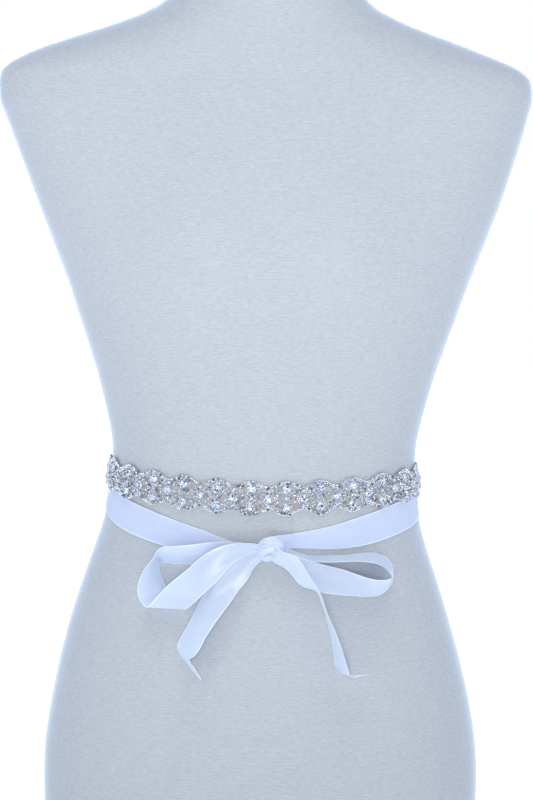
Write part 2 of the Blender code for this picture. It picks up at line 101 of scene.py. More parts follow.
# The two soft swellings of the chest.
BUST_HEIGHT = 548.0
BUST_SIDE = 68.0
BUST_OUT = 19.0
BUST_WIDTH = 44.0
BUST_ABOVE = 66.0
BUST_BELOW = 44.0

# The jewelled band: the height of its middle line and the gap below it, by angle.
BAND_LINE = (
    # angle, height, gap
    (-225, 369, 3.3),
    (-208, 368.5, 3.3),
    (-195, 367.5, 3.3),
    (-184, 366.6, 2.3),
    (-173, 365, 1.9),
    (-160, 362, 1.9),
    (-150, 360, 1.9),
    (-139, 357.8, 0.6),
    (-128, 355.9, 0.5),
    (-111, 354, 0.5),
    (-95, 352.4, 0.5),
    (-79, 352.2, 0.5),
    (-64, 352.7, 0.5),
    (-49, 353.9, 0.5),
    (-38, 355.1, 0.6),
    (-29, 356, 1.9),
    (-20, 356.8, 1.9),
    (-8, 357.8, 1.9),
    (2, 358.7, 2.3),
    (14, 359.6, 3.3),
    (28, 360.4, 3.3),
    (45, 361, 3.3),
)
BAND_MIDDLE = -87.1
REPEAT = 26.5
PAIRS_EACH_SIDE = 8
BAND_END = 5.5
# The band's ends are rounded off, down to this share of its height, squared.
BAND_END_SHARE = 0.16
BAND_SAMPLES = 1200
CREST_HALF_HEIGHT = 13.2
VALLEY_HALF_HEIGHT = 8.7
SCALLOP_POWER = 0.8
PAIR_OFFSET = 7.0

# The ribbon, and the stretches of it that lie on the form. Each is sewn under one end of the band,
# crosses the back and comes forward below the other end of the band to the knot. Their rows are angle,
# top, bottom and gap.
RIBBON_WIDTH = 22.4
BACK_LEFT = (
    (-200, 379.2, 356.8, 0.5),
    (-210, 378.6, 356.2, 0.5),
    (-240, 375.2, 352.8, 0.5),
    (-270, 371.6, 349.2, 0.5),
    (-300, 368.4, 346, 0.5),
    (-320, 364.8, 342.4, 0.5),
    (-340, 359.7, 337, 0.5),
)
WRAP_RIGHT = (
    (10, 356.5, 333.6, 0.5),
    (0, 353.2, 330, 0.5),
    (-11.6, 349.3, 326, 0.5),
    (-23.5, 345.6, 321.6, 0.5),
    (-34, 341.5, 317.8, 0.5),
    (-41, 338.3, 315.3, 0.5),
    (-49, 334.7, 313.4, 0.5),
    (-57, 331, 312.9, 0.5),
    (-64, 328.6, 313.4, 0.5),
    (-71, 326.6, 314.2, 0.7),
    # From here on it rises off the form into the knot.
    (-76, 325.4, 314.4, 1.8),
    (-79.6, 324.8, 313.8, 6),
    (-82.6, 324.4, 313.8, 11.6),
    (-85.4, 323.6, 314.8, 15),
    (-88.6, 321.8, 315.8, 14.4),
)
BACK_RIGHT = (
    (20, 371.4, 349, 1.9),
    (40, 371.7, 349.3, 1.9),
    (60, 371.4, 349, 1.9),
    (90, 370.6, 348.2, 1.9),
    (120, 369.4, 347, 1.9),
    (150, 367.9, 345.5, 1.9),
    (160.2, 366.2, 343.7, 1.9),
)
WRAP_LEFT = (
    (-192, 364.6, 341.6, 1.9),
    (-186, 363, 339.8, 0.9),
    (-180, 360.8, 337.5, 0.5),
    (-169, 356.4, 333, 0.5),
    (-162, 351.6, 328.4, 0.5),
    (-153, 346.6, 323.3, 0.5),
    (-143.6, 342, 319, 0.5),
    (-134.6, 337.2, 315.2, 0.5),
    (-125, 332, 311, 0.5),
    (-116.4, 327.6, 307.8, 0.5),
    (-108, 322.2, 307, 0.5),
    (-103, 319.6, 307.8, 0.7),
    (-97, 318.4, 309.6, 1),
    (-91.5, 317.8, 311.6, 1.2),
)

# The hanging stretches, from the knot outwards, as rows of x, y, z, lean, turn and width. Each row is
# a point of the ribbon's middle line. Lean is the direction of its width in the front view (0 is +X, 90
# is up), turn how far that points towards the front, and width the share that isn't gathered.
LOOP_LEFT = (
    (-8.2, -102.6, 314.9, 92, 0, 0.34),
    (-17.2, -102.5, 313.5, 92, 4, 0.56),
    (-31.7, -102.5, 311.8, 91, 10, 0.82),
    (-46.9, -103.4, 310.8, 90, 28, 0.97),
    (-62.2, -102, 310.3, 90, 42, 1),
    (-73.8, -98.8, 309.9, 90, 47, 1),
    (-80, -97.1, 309.8, 91, 53, 1),
    (-82.7, -96.3, 309.6, 98, 66, 1),
    (-84.4, -95.8, 308, 122, 78, 1),
    (-85.8, -95.9, 304.6, 150, 75, 1),
    (-87.5, -95.8, 299.6, 168, 63, 1),
    (-88.8, -95, 292.1, 178, 46, 1),
    (-88.3, -93.4, 284.1, 183, 20, 1),
    (-86.9, -94.6, 275.8, 175, 8, 1.02),
    (-82.9, -98.8, 271.4, 175, 2, 1.12),
    (-77.3, -105.1, 269.5, 176, 0, 1.24),
    (-71.5, -109.7, 275.1, 163, -2, 1.16),
    (-65.7, -112.3, 281.2, 150, -6, 1.1),
    (-59.6, -113.7, 286.7, 137, -10, 1.03),
    (-53.5, -114.4, 292.1, 128, -13, 1),
    (-44.4, -114.9, 300.6, 126, -15, 1),
    (-35.3, -114.2, 308.2, 121, -10, 0.84),
    (-26.2, -112.2, 313.2, 112, -4, 0.64),
    (-17.1, -109.5, 315.5, 104, 0, 0.45),
    (-8.8, -107.1, 316.6, 98, 0, 0.28),
)
TAIL_LEFT = (
    (-8.4, -105.5, 310.3, -50, 0, 0.54),
    (-16.8, -108, 306.2, -42, -8, 0.82),
    (-21.7, -110.1, 298.9, -37, -6, 0.88),
    (-31.2, -111.1, 289.3, -35, 2, 1),
    (-38.2, -112.4, 278, -34, 28, 1),
    (-45, -113.3, 267.1, -34, 39, 1),
    (-52.1, -114.9, 255.4, -34, 45, 1),
    (-58.1, -115.9, 244.4, -33, 45, 1),
    (-61.7, -116.4, 238.3, -20, 52, 1),
    (-62.1, -116.9, 234, 8, 68, 0.94),
    (-60.1, -117.6, 230.8, 32, 74, 0.84),
    (-56.9, -118.6, 226.6, 40, 73, 0.72),
    (-53.1, -119.7, 221.6, 42, 74, 0.5),
    (-49.6, -120.5, 216.7, 42, 77, 0.1),
)
LOOP_RIGHT = (
    (13.3, -107.6, 308.6, 75, 0, 0.38),
    (19.4, -108.2, 304.2, 74, 0, 0.62),
    (30.8, -109.1, 297.4, 76, 5, 0.9),
    (43.8, -108.8, 292.8, 79, 12, 1),
    (56, -107.4, 290.1, 80, 19, 1),
    (67.9, -104.8, 287.2, 82, 33, 1),
    (77.6, -101.5, 285, 88, 42, 1),
    (87.1, -97.1, 284.4, 96, 51, 1),
    (92.5, -93.5, 285.9, 99, 61, 1),
    (96.2, -90, 288.5, 107, 71, 1),
    (97.2, -88, 291.8, 140, 82, 1),
    (96.4, -87, 295.3, 178, 82, 1),
    (94.4, -86.8, 299.2, 202, 77, 1),
    (91.1, -87.8, 302.8, 222, 75, 1),
    (85.9, -90.2, 305.4, 240, 76, 1),
    (77, -94.6, 307.3, 254, 79.5, 1),
    (68.4, -98.3, 307.5, 265, 84, 1),
    (56.9, -102, 307.3, 269, 86, 1),
    (46.9, -103.9, 307.5, 270, 84.5, 0.94),
    (39.3, -103.6, 307.4, 270, 83, 0.78),
    (34, -102.6, 307.8, 270, 81, 0.6),
    (27.9, -101.5, 308.9, 270, 76, 0.45),
    (22.8, -101, 310.2, 272, 66, 0.38),
    (17.9, -101.5, 312, 274, 56, 0.34),
)
TAIL_RIGHT = (
    (8.4, -111.9, 310.7, 46, 10, 0.5),
    (18.2, -114.5, 306.2, 50, 22, 0.62),
    (23.1, -117.6, 301.6, 47, 34, 0.68),
    (27.8, -121, 294.9, 43, 46, 0.74),
    (32.6, -123, 290, 37, 59, 0.78),
    (37.4, -123.7, 286.4, 26, 76, 0.84),
    (40.1, -123.2, 282.9, 12, 82, 0.9),
    (42.3, -122.3, 276.6, 10, 84, 1),
    (46.1, -120.7, 265.8, 14, 83, 1),
    (49.6, -119.6, 255.7, 12, 78.5, 1),
    (52.7, -119, 245, 8, 74, 1),
    (55.7, -118.5, 232.2, 6, 69, 1),
    (57.5, -118.4, 224.9, 2, 66, 1),
    (60.8, -118.1, 220.6, 40, 76, 0.88),
    (65, -117.1, 219.4, 80, 83, 0.68),
    (71.2, -115.4, 219.7, 88, 83, 0.4),
    (77.7, -113.2, 220.1, 90, 83, 0.06),
)

# The knot: a small rounded lump with the ribbon's folds running round it.
KNOT_CENTRE = (3.2, -105.6, 315.2)
KNOT_HALF_SIZE = (11.0, 6.6, 9.4)
KNOT_LEAN = 24.0
KNOT_FOLDS = 5
KNOT_FOLD_DEPTH = 0.055
KNOT_SWIRL = 2.2
KNOT_FULLNESS = 0.8
KNOT_CREASES = (
    # angle round the knot, slant along it in degrees, half width in radians, height
    (50, 40, 0.15, -0.11),
    (26, 30, 0.12, -0.14),
    (2, 12, 0.16, 0.07),
    (-22, 16, 0.11, -0.26),
    (-48, 26, 0.26, 0.03),
    (-74, -30, 0.12, -0.1),
    (150, 30, 0.2, -0.12),
    (200, -30, 0.2, -0.1),
)
KNOT_DENTS = (
    # angle round the knot, share along it, half width in radians, height
    (36, 0.42, 0.2, -0.3),
    (60, 0.22, 0.4, 0.06),
)

# The bow's loops and tails. Each source is a place in the knot or on it, and how much of the way to
# it the strip goes on from its first or last station.
IN_KNOT = (KNOT_CENTRE, 0.5)
STRIPS = (
    # node, stations, side of the satin's face, how it is held, sources at its start and end
    ("loop_left", LOOP_LEFT, 1, "folded", (IN_KNOT, ((-1.6, -110.6, 316.2), 1.0))),
    ("loop_right", LOOP_RIGHT, -1, "folded", (IN_KNOT, IN_KNOT)),
    ("tail_left", TAIL_LEFT, 1, "hung", (((-0.8, -106.5, 313.4), 1.0),)),
    ("tail_right", TAIL_RIGHT, -1, "hung", (((3.8, -111.4, 314.6), 1.0),)),
)
# How much of its width a strip keeps at such a source.
SOURCE_WIDTH = 0.85

# Soft troughs (negative) and ridges along each ribbon. Places run from -1 to 1 across it.
MARKS = {
    # start, end, place at start, place at end, half width, height
    "ribbon_from_left_end": (
        (60, 190, 0.1, -0.4, 0.5, 0.25),
        (230, 330, -0.3, 0.4, 0.4, 0.3),
        (360, 560, 0.3, -0.2, 0.3, 0.45),
    ),
    "ribbon_from_right_end": (
        (50, 170, -0.2, 0.4, 0.5, 0.25),
        (210, 300, 0.3, -0.3, 0.4, 0.3),
        (330, 540, -0.2, 0.3, 0.3, 0.45),
    ),
    "bow_loop_left": (
        (0, 50, 0.3, 0, 0.35, -0.6),
        (8, 70, -0.5, -0.6, 0.3, 0.4),
        (165, 225, 0.2, 0, 0.5, 0.7),
        (170, 235, -0.6, -0.4, 0.25, -0.4),
    ),
    "bow_loop_right": (
        (0, 70, 0.2, 0.1, 0.4, -0.6),
        (10, 90, -0.5, -0.4, 0.3, 0.4),
        (160, 215, 0.2, 0.1, 0.4, 0.25),
    ),
    "bow_tail_left": ((0, 70, -0.35, -0.55, 0.3, 1.3), (5, 60, 0.35, 0.2, 0.35, -0.8)),
    "bow_tail_right": ((0, 40, 0.1, 0.2, 0.35, 0.8), (30, 100, 0.2, -0.2, 0.5, 0.6)),
}
# Pleats in gathered ribbon: half waves across it and the shift of the first.
PLEAT_HEIGHT = 0.26
WRAP_PLEATS = (3.0, 0.4)
STRIP_PLEATS = (2.4, 0.9)

# The satin's thickness, what its woven edges add, the air below it on the form, and the least and
# most that pleats and marks lift it there.
SATIN_THICK = 0.32
EDGE_THICK = 0.08
WRAP_AIR = 0.25
WRAP_LIFTS = (-0.25, 1.2)

# How finely the pieces are made.
FINE_SEGMENTS = 160
FINE_RINGS = 230
RIBBON_COLUMNS = 27
RIBBON_STEP = 1.3
# The ribbon's columns crowd towards its woven edges. A share of 0 would space them evenly.
COLUMN_CROWDING = 0.86
KNOT_RINGS = 44
KNOT_SIDES = 96
NET_COLUMNS = 437
NET_ROWS = 17

# The band's upper part is pressed towards the form: from an offset, over a reach, by a share of its
# gap and down to a gap.
PRESS_FROM = 1.0
PRESS_REACH = 8.0
PRESS_SHARE = 0.85
PRESSED_GAP = 0.5
# Behind each side its upper part also lies lower and closer: from a distance along it, over a reach
# along it and one up it, lower by a share and closer by a depth.
BEHIND_FROM = 158.0
BEHIND_REACH = 12.0
BEHIND_RISE = 5.0
BEHIND_LOWER = 0.22
BEHIND_CLOSER = 0.7

# Beads, stones and net. The net's lift is from the band's line, and the others are from its face.
NET_LIFT = 0.35
NET_THICK = 0.35
BAND_FACE = NET_LIFT + NET_THICK
LARGE_RADIUS = 3.2
LARGE_HEIGHT = 1.35
LARGE_LIFT = 1.0
SMALL_RADIUS = 1.45
SMALL_HEIGHT = 0.9
SMALL_LIFT = 0.7
SMALL_OFFSET = 5.9
SIDE_RADIUS = 1.1
SIDE_STONE = 6.5
SIDE_OFFSET = 2.6
CUP_SIDES = 14
CUP_HEIGHT = 2.0
CUP_DROP = 0.1
CLAW_TURNS = (0.79, 2.36, 3.93, 5.5)
CLAW_OUT = 2.85
CLAW_LIFT = 1.5
CLAW_SIZE = (0.62, 0.42, 0.5)
BEAD_RADIUS = 0.85
BEAD_PITCH = 1.8
RING_RADIUS = 4.45
RING_BEADS = 15
RING_BEAD_SIZE = (0.85, 0.6, 0.6)
FILL_PITCH = 1.7
FILL_SHARE = 0.8
FILL_RADIUS = 0.8

# The scale of a noise that isn't drawn out.
PLAIN = (1.0, 1.0, 1.0)
# Colours, in linear light.
WHITE = (1.0, 1.0, 1.0)
JERSEY_LOW = (0.412, 0.438, 0.470)
JERSEY_HIGH = (0.500, 0.530, 0.568)
FLAT_LOW = (0.55, 0.635, 0.83)
FLAT_HIGH = (0.585, 0.67, 0.865)
SATIN_LOW = (0.53, 0.63, 0.85)
SATIN_HIGH = (0.57, 0.67, 0.89)
DULL_LOW = (0.54, 0.63, 0.85)
DULL_HIGH = (0.575, 0.67, 0.885)
# The ribbon's woven edges are real; their paler colour is a painted highlight where they catch light.
SELVEDGE_HIGHLIGHT = (0.72, 0.82, 1.0)
# The net's threads, and its holes, which are painted darker as painted shade under the net.
NET_THREAD = (0.54, 0.54, 0.55)
NET_HOLE_SHADE = (0.31, 0.31, 0.32)
# Shares and colours of the stones, the metal and the loose beads. Beside their own tone, their near-white
# and dark colours, set on each facet or bead, are painted glints and reflections.
STONE_TINTS_AND_REFLECTIONS = (
    (0.4, (0.66, 0.76, 0.92)),
    (0.18, (0.96, 0.99, 1.0)),
    (0.18, (0.38, 0.48, 0.66)),
    (0.14, (0.10, 0.13, 0.22)),
    (0.1, (0.02, 0.03, 0.06)),
)
METAL_TINTS_AND_GLINTS = (
    (0.42, (0.68, 0.76, 0.88)),
    (0.28, (0.96, 0.98, 1.0)),
    (0.18, (0.36, 0.40, 0.52)),
    (0.07, (0.60, 0.55, 0.52)),
    (0.05, (0.10, 0.11, 0.16)),
)
FILL_TINTS_AND_GLINTS = (
    (0.4, (0.94, 0.97, 1.0)),
    (0.28, (0.62, 0.68, 0.80)),
    (0.17, (0.36, 0.37, 0.45)),
    (0.15, (0.14, 0.15, 0.22)),
)

# The studio. World steps run from straight ahead of the form (0) to straight behind it (1).
WORLD_STEPS = (
    # position, colour
    (0.0, (0.09, 0.09, 0.095)),
    (0.05, (0.11, 0.115, 0.125)),
    (0.30, (0.20, 0.22, 0.27)),
    (0.62, (0.60, 0.73, 0.98)),
    (1.0, (0.68, 0.8, 1.0)),
)
# The floor's painted light: its emitted glow near its centre and far from it, and the distances between
# which it grows, so that it is dimmer near the form as painted shade.
FLOOR_PAINTED_GLOW = (0.1, 0.80)
FLOOR_STEPS = (0.30, 0.70)
FLOOR_CENTRE = (0.0, -0.35, 0.0)
# The camera looks down by its tilt in degrees, from a distance to a height over the origin in metres.
CAMERA_TILT = 5.0
CAMERA_AWAY = 2.0
CAMERA_AIM = 0.42
CAMERA_LENS = 112.5
LIGHTS = (
    # name, place, target, size, power, colour
    ("front", (-0.06, -2.3, 0.62), (0.0, 0.0, 0.43), 0.6, 23.0, (1.0, 1.0, 1.0)),
    ("key", (-0.8, -1.5, 2.2), (0.0, 0.0, 0.5), 0.9, 2.5, (1.0, 0.96, 0.92)),
    ("top", (0.1, -0.8, 2.5), (0.0, 0.0, 0.75), 1.4, 18.0, (0.98, 0.985, 1.0)),
)


def slopes(positions, values):
    """The slope of a smooth curve at each row of a table."""
    steps = np.diff(positions)
    rises = np.diff(values) / steps
    inner = (rises[:-1] * steps[1:] + rises[1:] * steps[:-1]) / (steps[:-1] + steps[1:])
    return np.concatenate([rises[:1], inner, rises[-1:]])


def smooth(positions, values, at):
    """The values of a table's column at any positions, as a smooth curve through its rows."""
    at = np.clip(at, positions[0], positions[-1])
    row = np.clip(np.searchsorted(positions, at, side="right") - 1, 0, len(positions) - 2)
    step = positions[row + 1] - positions[row]
    part = (at - positions[row]) / step
    slope = slopes(positions, values)
    start = values[row] * (2 * part**3 - 3 * part**2 + 1)
    end = values[row + 1] * (3 * part**2 - 2 * part**3)
    lean_in = slope[row] * step * (part**3 - 2 * part**2 + part)
    lean_out = slope[row + 1] * step * (part**3 - part**2)
    return start + end + lean_in + lean_out


def looked_up(table, number, at):
    """A column of a table at any values of its first column."""
    rows = np.array(table, float)
    return smooth(rows[:, 0], rows[:, number], at)


def form_point(angle, height):
    """Points of the form's skin, in millimetres, at angles in degrees and heights."""
    angle, height = np.broadcast_arrays(angle, height)
    half_width, front, back, drift, power = (looked_up(FORM_SECTIONS, k, height) for k in range(1, 6))
    across = np.cos(np.radians(angle))
    along = np.sin(np.radians(angle))
    side = (np.abs(across) / half_width) ** power
    reach = (side + (np.abs(along) / np.where(along < 0, front, back)) ** power) ** (-1 / power)
    x = reach * across
    y = reach * along
    fall = np.where(height > BUST_HEIGHT, BUST_ABOVE, BUST_BELOW)
    swell = np.exp(-(((height - BUST_HEIGHT) / fall) ** 2))
    pair = np.exp(-(((x - BUST_SIDE) / BUST_WIDTH) ** 2)) + np.exp(-(((x + BUST_SIDE) / BUST_WIDTH) ** 2))
    y = y - BUST_OUT * swell * pair * np.clip(-along, 0, 1) ** 2
    return np.stack([x + drift, y, height], axis=-1)


def unit(vectors):
    return vectors / np.maximum(np.linalg.norm(vectors, axis=-1, keepdims=True), 1e-9)


def on_form(angle, height, gap):
    """Points at a gap outside the form's skin."""
    around = form_point(angle + SLOPE_STEP, height) - form_point(angle - SLOPE_STEP, height)
    upward = form_point(angle, height + SLOPE_STEP) - form_point(angle, height - SLOPE_STEP)
    return form_point(angle, height) + unit(np.cross(around, upward)) * np.asarray(gap)[..., None]


def distances(line):
    """The distance along a line of points, at each of them."""
    return np.concatenate([[0.0], np.cumsum(np.linalg.norm(np.diff(line, axis=0), axis=1))])


def ring_faces(rings, sides):
    """Quads between neighbouring rings of points that have the same number of sides."""
    level = np.arange(rings - 1)[:, None] * sides
    start = (level + np.arange(sides)).ravel()
    beside = (level + (np.arange(sides) + 1) % sides).ravel()
    return np.stack([start, beside, beside + sides, start + sides], axis=1)


def shell(outside, inside):
    """Points and quads of a closed cloth wall between two grids of the same size.

    Each quad has a mark: 1 on the inside, 0 on the outside and the rim."""
    length, rows = outside.shape[:2]
    under = length * rows
    points = np.concatenate([outside.reshape(-1, 3), inside.reshape(-1, 3)])
    along = np.arange(length - 1) * rows
    across = np.arange(rows - 1)
    corner = (along[:, None] + across).ravel()
    outer = np.stack([corner, corner + 1, corner + rows + 1, corner + rows], axis=1)
    faces = [outer, outer[:, ::-1] + under]
    rims = ((along, rows, 1), (along + rows - 1, rows, -1), (across, 1, -1), (across + under - rows, 1, 1))
    for start, step, order in rims:
        rim = np.stack([start, start + step, start + step + under, start + under], axis=1)
        faces.append(rim[:, ::order])
    inner = np.repeat([0, 1] + [0] * len(rims), [len(part) for part in faces])
    return points, np.concatenate(faces), inner


def cloth_places(across, along):
    """Flat cloth coordinates for both grids of a shell."""
    grid = np.stack(np.broadcast_arrays(across, along), axis=-1)
    return np.concatenate([grid.reshape(-1, 2)] * 2)


def add_thing(name, data):
    thing = bpy.data.objects.new(name, data)
    bpy.context.scene.collection.objects.link(thing)
    return thing


def add_piece(
    name, points, faces, materials, nodes, rounded=True, uv=None, tint_and_glint=None, picks=None, closed=True
):
    """A piece of the belt or the form, from points in millimetres.

    uv holds flat cloth coordinates in millimetres. Only triangles have a tint, whose colours include
    painted glints and reflections."""
    mesh = bpy.data.meshes.new(name)
    faces = np.asarray(faces, dtype=np.int32)
    mesh.vertices.add(len(points))
    mesh.vertices.foreach_set("co", (np.asarray(points, dtype=np.float32) * MM).ravel())
    mesh.loops.add(faces.size)
    mesh.loops.foreach_set("vertex_index", faces.ravel())
    mesh.polygons.add(len(faces))
    mesh.polygons.foreach_set("loop_start", np.arange(len(faces), dtype=np.int32) * faces.shape[1])
    mesh.polygons.foreach_set("use_smooth", np.full(len(faces), rounded))
    for material in materials:
        mesh.materials.append(material)
    if picks is not None:
        mesh.polygons.foreach_set("material_index", np.asarray(picks, dtype=np.int32))
    mesh.update(calc_edges=True)
    if closed:
        shape = bmesh.new()
        shape.from_mesh(mesh)
        bmesh.ops.recalc_face_normals(shape, faces=shape.faces)
        shape.to_mesh(mesh)
        shape.free()
    if uv is not None:
        picked = np.empty(len(mesh.loops), dtype=np.int32)
        mesh.loops.foreach_get("vertex_index", picked)
        layer = mesh.uv_layers.new(name="cloth")
        layer.data.foreach_set("uv", np.asarray(uv, dtype=np.float32)[picked].ravel())
    if tint_and_glint is not None:
        layer = mesh.color_attributes.new(name="tint_and_glint", type="FLOAT_COLOR", domain="CORNER")
        colours = np.repeat(np.column_stack([tint_and_glint, np.ones(len(tint_and_glint))]), 3, axis=0)
        layer.data.foreach_set("color", colours.astype(np.float32).ravel())
    piece = add_thing(name, mesh)
    if nodes:
        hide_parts(*nodes)
    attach(piece, "root")
    return piece


# Materials


def set_inputs(node, inputs):
    """Sets inputs of a node, each to a value or linked to another node's output."""
    for name, value in inputs.items():
        if isinstance(value, bpy.types.NodeSocket):
            node.id_data.links.new(value, node.inputs[name])
        else:
            node.inputs[name].default_value = value


def add_node(tree, kind, inputs=None, **settings):
    node = tree.nodes.new(kind)
    for name, value in settings.items():
        setattr(node, name, value)
    set_inputs(node, inputs or {})
    return node


def new_material(name, coordinates):
    """A material and its tree, with the coordinates of the surface's points."""
    material = bpy.data.materials.new(name)
    material.use_nodes = True
    tree = material.node_tree
    place = add_node(tree, "ShaderNodeTexCoord").outputs[coordinates]
    return material, tree, place


def finished(material, look):
    set_inputs(material.node_tree.nodes["Principled BSDF"], look)
    return material


def streaks(tree, place, scale, size=1.0, detail=2.0):
    """A noise drawn out by scale from object or cloth coordinates."""
    mapping = add_node(tree, "ShaderNodeMapping", {"Vector": place, "Scale": scale})
    inputs = {"Vector": mapping.outputs["Vector"], "Scale": size, "Detail": detail, "Roughness": 0.6}
    return add_node(tree, "ShaderNodeTexNoise", inputs).outputs["Fac"]


def ramped(tree, share, steps):
    """A colour that passes through steps of position and colour as a share grows."""
    ramp = add_node(tree, "ShaderNodeValToRGB", {"Fac": share})
    elements = ramp.color_ramp.elements
    while len(elements) < len(steps):
        elements.new(0.5)
    for element, (position, colour) in zip(elements, steps):
        element.position = position
        element.color = (*colour, 1.0)
    return ramp.outputs["Color"]


def blended(tree, share, low, high, start=0.3, end=0.7):
    """A colour between low and high, by a share that runs from start to end."""
    return ramped(tree, share, ((start, low), (end, high)))


def mixed(tree, kind, share, one, two):
    inputs = {"Factor": share, 6: one, 7: two}
    return add_node(tree, "ShaderNodeMix", inputs, data_type="RGBA", blend_type=kind).outputs[2]


def bumped(tree, height, strength, distance):
    inputs = {"Height": height, "Strength": strength, "Distance": distance}
    return add_node(tree, "ShaderNodeBump", inputs).outputs["Normal"]


def jersey_material():
    """Pale knit jersey: fine uneven level ribs, drawn out round the form."""
    material, tree, place = new_material("pale_jersey", "Object")
    ribs = streaks(tree, place, (240.0, 240.0, 1000.0))
    bands = streaks(tree, place, (35.0, 35.0, 300.0))
    nap = streaks(tree, place, PLAIN, 900.0, 1.0)
    wave = {"Vector": place, "Scale": 131.0, "Distortion": 4.0, "Detail": 2.0}
    courses = add_node(tree, "ShaderNodeTexWave", wave, bands_direction="Z")
    ribs = mixed(tree, "MIX", 0.07, ribs, courses.outputs["Fac"])
    base = blended(tree, ribs, JERSEY_LOW, JERSEY_HIGH)
    broad = blended(tree, bands, (0.985, 0.985, 0.985), WHITE)
    look = {
        "Base Color": mixed(tree, "MULTIPLY", 1.0, base, broad),
        "Normal": bumped(tree, mixed(tree, "MIX", 0.3, ribs, nap), 0.15, 0.0003),
        "Roughness": 0.9,
        "Specular IOR Level": 0.2,
        "Sheen Weight": 0.9,
        "Sheen Roughness": 0.35,
        "Sheen Tint": (0.74, 0.87, 1.0, 1.0),
    }
    return finished(material, look)


def satin_material(name, low, high, roughness, sheen, softness):
    """Satin ribbon with fine cross threads, faint lengthwise streaks, and its woven edges made paler as a
    painted highlight.
    """
    material, tree, cloth = new_material(name, "UV")
    threads = streaks(tree, cloth, (0.6, 5.0, 1.0))
    streak = streaks(tree, cloth, (1.1, 0.02, 1.0))
    cloud = streaks(tree, cloth, (0.06, 0.03, 1.0))
    fine = blended(tree, threads, (0.97, 0.97, 0.975), WHITE)
    base = mixed(tree, "MULTIPLY", 1.0, blended(tree, cloud, low, high), fine)
    across = add_node(tree, "ShaderNodeSeparateXYZ", {"Vector": cloth}).outputs["X"]
    size = add_node(tree, "ShaderNodeMath", {0: across}, operation="ABSOLUTE").outputs["Value"]
    # Paler colour towards the woven edges: a painted highlight.
    reach = {"Value": size, "From Min": RIBBON_WIDTH / 2 - 1.1, "From Max": RIBBON_WIDTH / 2 - 0.7}
    edge = add_node(tree, "ShaderNodeMapRange", reach, interpolation_type="SMOOTHSTEP")
    look = {
        "Base Color": mixed(tree, "MIX", edge.outputs["Result"], base, (*SELVEDGE_HIGHLIGHT, 1.0)),
        "Normal": bumped(tree, mixed(tree, "MIX", 0.5, threads, streak), 0.2, 0.00012),
        "Roughness": roughness,
        "Subsurface Weight": softness,
        "Subsurface Radius": WHITE,
        "Subsurface Scale": 0.0015,
        "Sheen Weight": sheen,
        "Sheen Roughness": 0.3,
        "Sheen Tint": (0.9, 0.95, 1.0, 1.0),
    }
    return finished(material, look)


def net_material():
    """Sheer warm-grey net: a fine lattice of threads, with its holes painted dark as painted shade under
    the net.
    """
    material, tree, cloth = new_material("sheer_net", "UV")
    turned = {"Vector": cloth, "Rotation": (0.0, 0.0, math.radians(45))}
    mapping = add_node(tree, "ShaderNodeMapping", turned)
    lattice = {"Vector": mapping.outputs["Vector"], "Scale": 1.5, "Randomness": 0.2}
    cells = add_node(tree, "ShaderNodeTexVoronoi", lattice, feature="DISTANCE_TO_EDGE")
    cells = cells.outputs["Distance"]
    # The holes between the threads get the darker colour: painted shade.
    threads = blended(tree, cells, NET_THREAD, NET_HOLE_SHADE, 0.06, 0.2)
    uneven = blended(tree, streaks(tree, cloth, (0.3, 0.3, 1.0)), (0.82, 0.80, 0.79), WHITE)
    look = {
        "Base Color": mixed(tree, "MULTIPLY", 1.0, threads, uneven),
        "Normal": bumped(tree, cells, 0.4, 0.0002),
        "Roughness": 0.7,
    }
    return finished(material, look)


def glint_tinted_material(name, roughness, metallic, ior, coat):
    """Stones or beads: a tint on each face, which includes painted glints and reflections, with small
    smudges, under a clear gloss.
    """
    material, tree, place = new_material(name, "Object")
    tint_and_glint = add_node(tree, "ShaderNodeVertexColor", layer_name="tint_and_glint").outputs["Color"]
    uneven = blended(tree, streaks(tree, place, PLAIN, 700.0, 1.0), (0.88, 0.89, 0.9), WHITE)
    look = {
        "Base Color": mixed(tree, "MULTIPLY", 1.0, tint_and_glint, uneven),
        "Roughness": roughness,
        "Metallic": metallic,
        "IOR": ior,
        "Coat Weight": coat,
        "Coat Roughness": 0.03,
    }
    return finished(material, look)


# The dress form


def add_form(jersey):
    """The dress form in its stretched jersey."""
    angles = np.arange(FINE_SEGMENTS) * 360.0 / FINE_SEGMENTS
    rings = []
    for height in [*FOOT_HEIGHTS, *np.linspace(10.0, FORM_TOP - 6.0, FINE_RINGS)]:
        ring = form_point(angles, height)
        short = max(0.0, 1 - height / BASE_EDGE)
        inward = BASE_EDGE * (1 - math.sqrt(1 - short * short))
        rings.append(ring - unit(ring * LEVEL) * inward)
    top = form_point(angles, FORM_TOP)
    middle = np.array([looked_up(FORM_SECTIONS, 4, FORM_TOP), 0.0, 0.0])
    inward = unit((top - middle) * LEVEL)
    for step in np.linspace(0.0, 1.0, 7)[1:]:
        turn = step * math.pi / 2
        edge = top - inward * NECK_EDGE * (1 - math.cos(turn))
        edge[:, 2] = FORM_TOP - NECK_EDGE * (1 - math.sin(turn))
        rings.append(edge)
    base, neck = rings[0], rings[-1]
    rings += [middle + (neck - middle) * (share, share, 1.0) for share in (0.93, 0.8, 0.6, 0.35, 0.12)]
    rings = [base * (share, share, 1.0) for share in (0.04, 0.3, 0.6, 0.85, 0.97)] + rings
    caps = []
    for a in (0, (len(rings) - 1) * FINE_SEGMENTS):
        b = a + FINE_SEGMENTS - 1
        caps += [(a + j, a + j + 1, b - j - 1, b - j) for j in range(FINE_SEGMENTS // 2 - 1)]
    faces = np.concatenate([ring_faces(len(rings), FINE_SEGMENTS), caps])
    points = np.concatenate(rings)
    piece = add_piece("form_in_jersey", points, faces, [jersey], ["dress_form"])


# The ribbon


